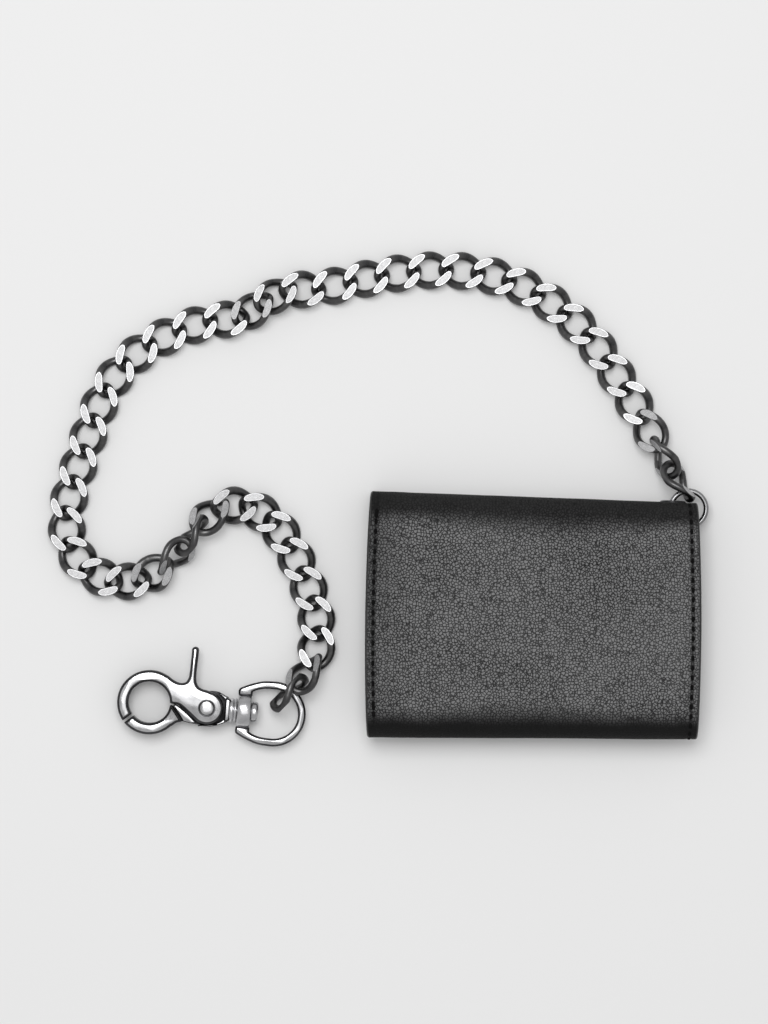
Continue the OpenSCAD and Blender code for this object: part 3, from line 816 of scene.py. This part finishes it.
def curve(points, steps=6):
    """A smooth line through the points."""
    pts = [Vector(p) for p in points]
    out = []
    for i in range(len(pts) - 1):
        a, b = pts[max(0, i - 1)], pts[i]
        c, d = pts[i + 1], pts[min(len(pts) - 1, i + 2)]
        for k in range(steps):
            t = k / steps
            out.append(tuple(0.5 * ((2 * b) + (c - a) * t + (2 * a - 5 * b + 4 * c - d) * t ** 2
                                    + (3 * b - a - 3 * c + d) * t ** 3)))
    out.append(tuple(pts[-1]))
    return out


def tidy_outline(points, gap=0.12):
    """The outline anticlockwise, without points that crowd together."""
    out = []
    for p in points:
        if not out or math.dist(p, out[-1]) > gap:
            out.append(p)
    if math.dist(out[0], out[-1]) < gap:
        out.pop()
    area = sum(out[i - 1][0] * out[i][1] - out[i][0] * out[i - 1][1] for i in range(len(out)))
    return out if area > 0 else out[::-1]


def inset(points, d):
    """The outline moved inwards by d. Stretches that would turn back on themselves shrink to a point."""
    out = []
    n = len(points)
    for i in range(n):
        p, a, b = Vector(points[i]), Vector(points[i - 1]), Vector(points[(i + 1) % n])
        e1, e2 = (p - a).normalized(), (b - p).normalized()
        n1, n2 = Vector((-e1.y, e1.x)), Vector((-e2.y, e2.x))
        m = n1 + n2
        m = n1 if m.length < 0.2 else m.normalized()
        out.append(p + m * d / max(0.6, m.dot(n1)))
    for _ in range(12):
        back = [(out[(k + 1) % n] - out[k]).dot(Vector(points[(k + 1) % n]) - Vector(points[k])) < -1e-9
                for k in range(n)]
        if not any(back):
            break
        start = back.index(False)
        k = start
        while k < start + n:
            if back[k % n]:
                run = [k % n]
                while back[k % n]:
                    k += 1
                    run.append(k % n)
                middle = sum((out[r] for r in run), Vector((0, 0))) / len(run)
                for r in run:
                    out[r] = middle.copy()
            k += 1
    return [tuple(p) for p in out]


def plate(name, outline, z0, z1, bevel, body, nodes=(), bottom_bevel=None, steps=4, top=0):
    """A flat casting: an outline in the clasp's frame, from z0 to z1, with rounded rims in darker nickel, a painted
    reflection of the dim surroundings. top is its upper face's material in CAST, where 2 is painted shade."""
    outline = tidy_outline(outline)
    rings = []
    low = bevel if bottom_bevel is None else bottom_bevel
    for k in range(steps + 1):
        a = math.pi / 2 * k / steps
        rings.append((low * (1 - math.sin(a)), z0 + low * (1 - math.cos(a))))
    for k in range(steps + 1):
        t = k / steps
        rings.append((bevel * t, z1 - 0.8 * bevel * (1 - t) ** 1.3))
    verts, faces = [], []
    n = len(outline)
    for d, z in rings:
        verts += [clasp_point(u, v, z) for u, v in inset(outline, d)]
    for i in range(len(rings) - 1):
        for k in range(n):
            faces.append((i * n + k, i * n + (k + 1) % n, (i + 1) * n + (k + 1) % n, (i + 1) * n + k))
    # the rims take the darker nickel, a painted reflection of the dim surroundings; the bottom face takes plain
    # nickel
    indices = [1] * len(faces) + [0, top]
    faces += [tuple(range(n)), tuple((len(rings) - 1) * n + k for k in range(n))]
    return finish_mesh(name, verts, faces, CAST, body, nodes, indices, {len(faces) - 2, len(faces) - 1},
                       50, weld=True)


# plain nickel, the darker nickel for the rims, and painted shade for sunk faces
CAST = [NICKEL, DARK_NICKEL_AND_PAINTED_SHADE, SUNK_FACE_SHADE]
SPLIT = 222              # where the jaws part, in degrees round the eye
EYE_OUT, EYE_IN = 10.4, 6.8
jaw = arc(EYE, EYE_OUT, SPLIT - 2.2, 62)
jaw += curve([(-13.6, 9.25), (-11.6, 8.0), (-9.6, 7.3), (-7.8, 7.6), (-6.9, 8.9), (-6.6, 10.8), (-6.5, 17.6)])
jaw += arc((-5.45, 18.3), 1.15, 170, 5, 20)
jaw += curve([(-4.3, 17.4), (-4.45, 11.0), (-4.2, 8.2), (-3.3, 6.6), (-1.9, 5.9), (-0.4, 5.65)])
jaw += arc((0, 0), 5.3, 80, -118)
jaw += curve([(-3.4, -4.1), (-6.4, -1.7), (-9.0, 0.1), (-11.2, 0.35)])
jaw += arc(EYE, EYE_IN, 4, SPLIT - 3.4)
plate("trigger", jaw, -0.1, 3.3, 0.8, "trigger", ["trigger_jaw"], bottom_bevel=0.2)
under = arc(EYE, EYE_OUT - 0.05, SPLIT - 2.4, 30) + arc(EYE, EYE_IN + 0.05, 12, SPLIT - 3.6)
plate("trigger_hook", under, -3.2, 0.1, 0.3, "trigger", bottom_bevel=1.1)

fixed = arc(EYE, EYE_OUT, SPLIT + 2.2, 318)
fixed += curve([(-10.9, -6.9), (-9.3, -5.6), (-7.4, -5.15), (-5.0, -5.5), (-2.0, -5.75), (2.0, -5.6), (6.2, -4.3)])
fixed += [(6.6, -4.0), (6.6, 4.0)] + curve([(6.0, 4.2), (2.6, 5.5), (-1.5, 4.9), (-4.5, 2.0), (-8.0, -0.3),
                                           (-11.9, -0.5)])
fixed += arc(EYE, EYE_IN, 355, SPLIT + 3.4)
# its upper face, sunk under the jaws, takes painted shade
plate("body_plate", fixed, -3.3, -0.2, 0.3, "clasp", ["clasp_body"], bottom_bevel=0.9, top=2)
lower = arc(EYE, EYE_OUT, SPLIT + 2.2, 318)
lower += curve([(-10.9, -6.9), (-9.3, -5.6), (-7.9, -5.2), (-8.0, -4.4), (-9.4, -2.6), (-11.2, -0.35), (-11.9, -0.3)])
lower += arc(EYE, EYE_IN, 356, SPLIT + 3.4)
plate("body_jaw", lower, -0.3, 3.3, 0.8, "clasp", bottom_bevel=0.05)
web = curve([(-11.0, 0.0), (-9.2, -2.3), (-7.6, -4.5), (-7.4, -5.1)]) + [(-5.0, -5.45), (-3.2, -5.0)] + \
    curve([(-3.9, -4.4), (-6.6, -2.2), (-9.2, -0.4), (-10.7, 0.1)])
plate("body_web", web, -0.3, 1.9, 0.25, "clasp", bottom_bevel=0.05)
neck = [(5.9, -4.0), (7.6, -3.3), (7.6, 3.3), (5.9, 4.0)]
plate("body_neck", neck, -3.0, 3.0, 0.5, "clasp")
shoulder = curve([(3.3, 5.6), (4.4, 5.1), (5.4, 4.5), (6.8, 3.7)])
shoulder += curve([(6.8, 2.7), (5.8, 3.2), (4.9, 4.0), (4.0, 4.75)])
plate("body_shoulder", shoulder, -0.4, 2.4, 0.25, "clasp", bottom_bevel=0.05)
heel = [(u, -v) for u, v in curve([(-2.4, 5.85), (1.2, 5.9), (3.2, 5.5), (5.2, 4.7), (6.8, 3.9)])] + \
    [(u, -v) for u, v in curve([(6.8, 2.9), (5.7, 3.3), (4.7, 4.1), (3.2, 5.0)])]
plate("body_heel", heel, -0.4, 2.4, 0.25, "clasp", bottom_bevel=0.05)

collar = [(7.2, 0.2), (7.2, 3.5), (7.5, 3.9), (8.3, 4.02), (8.6, 3.75), (8.75, 3.45), (8.9, 3.75), (9.15, 3.98),
          (9.55, 3.9), (9.7, 3.5), (9.7, 0.2)]
origin = clasp_point(0, 0, 0)
lathe("body_collar", rounded(collar, 0.16, 3), origin, U, [NICKEL], "clasp")
post = [(9.5, 0.1), (9.5, 2.0), (14.3, 2.0), (14.3, 2.9), (14.55, 3.25), (15.1, 3.4), (16.0, 3.35), (16.5, 3.0),
        (16.7, 2.3), (16.7, 0.1)]
lathe("swivel_post", rounded(post, 0.2, 3), origin, U, [NICKEL], "clasp")

cap = [(-3.75, 0.05), (-3.75, 2.3), (-3.55, 2.6), (-3.3, 2.62), (-3.3, 1.5), (3.2, 1.5), (3.2, 2.9), (3.42, 2.9),
       (3.5, 2.78), (3.5, 2.5), (3.42, 2.36), (3.48, 2.26), (3.78, 2.1), (3.93, 1.6), (4.0, 0.9), (4.0, 0.05)]
# the rivet head's edge and groove take the darker nickel, painted shade
lathe("rivet", cap, origin, (0, 0, 1), [NICKEL, DARK_NICKEL_AND_PAINTED_SHADE], "clasp", ["pivot_rivet"], 64, 40,
      indices=[0] * 8 + [1, 1, 1] + [0] * 5)

# The spring: three turns of wire round the rivet, between the two plates.
COIL_R, COIL_WIRE = 2.6, 0.3
COIL_LOW, COIL_RISE = -1.7, 1.25
TURNS, STEPS, COIL_SIDES = 3, 36, 8
coil = [(math.radians(360 / STEPS * k), COIL_LOW + COIL_RISE * k / (TURNS * STEPS)) for k in range(TURNS * STEPS + 1)]
verts, faces = [], []
for a, z in coil:
    for j in range(COIL_SIDES):
        b = 2 * math.pi * j / COIL_SIDES
        r = COIL_R + COIL_WIRE * math.cos(b)
        verts.append(clasp_point(math.cos(a) * r, math.sin(a) * r, z + COIL_WIRE * math.sin(b)))
for k in range(len(coil) - 1):
    for j in range(COIL_SIDES):
        j2 = (j + 1) % COIL_SIDES
        faces.append((k * COIL_SIDES + j, k * COIL_SIDES + j2, (k + 1) * COIL_SIDES + j2, (k + 1) * COIL_SIDES + j))
faces += [tuple(range(COIL_SIDES)), tuple((len(coil) - 1) * COIL_SIDES + j for j in range(COIL_SIDES))]
finish_mesh("spring", verts, faces, [STEEL], "clasp", ["trigger_spring"])

# The D-ring: a flat-faced half ring with square ears, and the swivel's barrel between them.
outside = curve([(9.8, 5.2), (9.8, 7.0), (11.2, 8.0), (14.2, 9.3), (17.6, 10.3), (21.6, 10.55)])
outside += arc((21.6, 0), 10.55, 86, -86) + curve([(21.6, -10.55), (17.6, -10.3), (14.2, -9.3), (11.2, -8.0),
                                                  (9.8, -7.0), (9.8, -5.2)])
inside = [(14.3, -5.2)] + curve([(14.3, -6.5), (15.6, -7.2), (18.2, -7.9), (21.6, -8.05)])
inside += arc((21.6, 0), 8.05, -86, 86) + curve([(21.6, 8.05), (18.2, 7.9), (15.6, 7.2), (14.3, 6.5)]) + [(14.3, 5.2)]
plate("d_ring", outside + inside, -1.2, 1.2, 0.65, "d_ring", ["swivel_d_ring"])
BARREL_R, BARREL_SINK, BARREL_HALF = 6.1, 2.3, 5.6       # its two arcs, how far each is sunk, and half its width
across = [-BARREL_HALF + 2 * BARREL_HALF * k / 32 for k in range(33)]
section = [(v, math.sqrt(BARREL_R ** 2 - v ** 2) - BARREL_SINK) for v in across]
section += [(v, -z) for v, z in reversed(section)]
stations = [(9.95, 0.9), (10.05, 0.96), (10.3, 1.0), (13.9, 1.0), (14.15, 0.96), (14.25, 0.9)]
verts, faces = [], []
for u, f in stations:
    verts += [clasp_point(u, v * (0.5 + 0.5 * f), z * f) for v, z in section]
n = len(section)
for i in range(len(stations) - 1):
    for k in range(n):
        faces.append((i * n + k, i * n + (k + 1) % n, (i + 1) * n + (k + 1) % n, (i + 1) * n + k))
faces += [tuple(range(n)), tuple((len(stations) - 1) * n + k for k in range(n))]
finish_mesh("d_ring_barrel", verts, faces, [NICKEL], "d_ring", angle=40)


# ---------------------------------------------------------------- floor, light and camera

def area_light(name, place, size, power):
    """A square light that looks at the origin."""
    light = bpy.data.lights.new(name, "AREA")
    light.energy = power
    light.size = size
    obj = bpy.data.objects.new(name, light)
    obj.location = place
    obj.rotation_euler = (-Vector(place)).to_track_quat("-Z", "Y").to_euler()
    bpy.context.scene.collection.objects.link(obj)


FLOOR_REACH = 12
FLOOR_DROP = 0.0001      # keeps the floor from flickering through what lies on it
floor_mesh = bpy.data.meshes.new("floor")
floor_mesh.from_pydata([(x * FLOOR_REACH, y * FLOOR_REACH, 0) for x, y in ((-1, -1), (1, -1), (1, 1), (-1, 1))], [],
                       [(0, 1, 2, 3)])
floor = bpy.data.objects.new("floor", floor_mesh)
floor.location.z = -FLOOR_DROP
floor_shader = Shader("floor_paper", (0.80, 0.80, 0.80), 0.9)
floor_shader.bump(floor_shader.noise(900.0), 0.00002, 0.2)
floor_mesh.materials.append(floor_shader.mat)
bpy.context.scene.collection.objects.link(floor)

world = bpy.data.worlds.new("studio")
world.use_nodes = True
background = world.node_tree.nodes["Background"]
background.inputs["Color"].default_value = (0.9, 0.9, 0.9, 1)
background.inputs["Strength"].default_value = 0.61
bpy.context.scene.world = world
area_light("key", (-0.12, 0.42, 1.3), 0.7, 8.0)
area_light("overhead", (0.0, 0.0, 1.4), 0.9, 2.6)

CAMERA_HEIGHT = 1.25
FRAME_HEIGHT = 0.3318    # what the view takes in from top to bottom, at the height of the chain's middle
VIEW_LEVEL = 0.008
camera_data = bpy.data.cameras.new("camera")
camera_data.sensor_fit = "VERTICAL"
camera_data.angle = 2 * math.atan(FRAME_HEIGHT / 2 / (CAMERA_HEIGHT - VIEW_LEVEL))
camera_data.clip_start = 0.01
camera = bpy.data.objects.new("camera", camera_data)
camera.location = (0.00186, -0.00413, CAMERA_HEIGHT)
bpy.context.scene.collection.objects.link(camera)
bpy.context.scene.camera = camera
bpy.context.scene.view_settings.view_transform = "Standard"
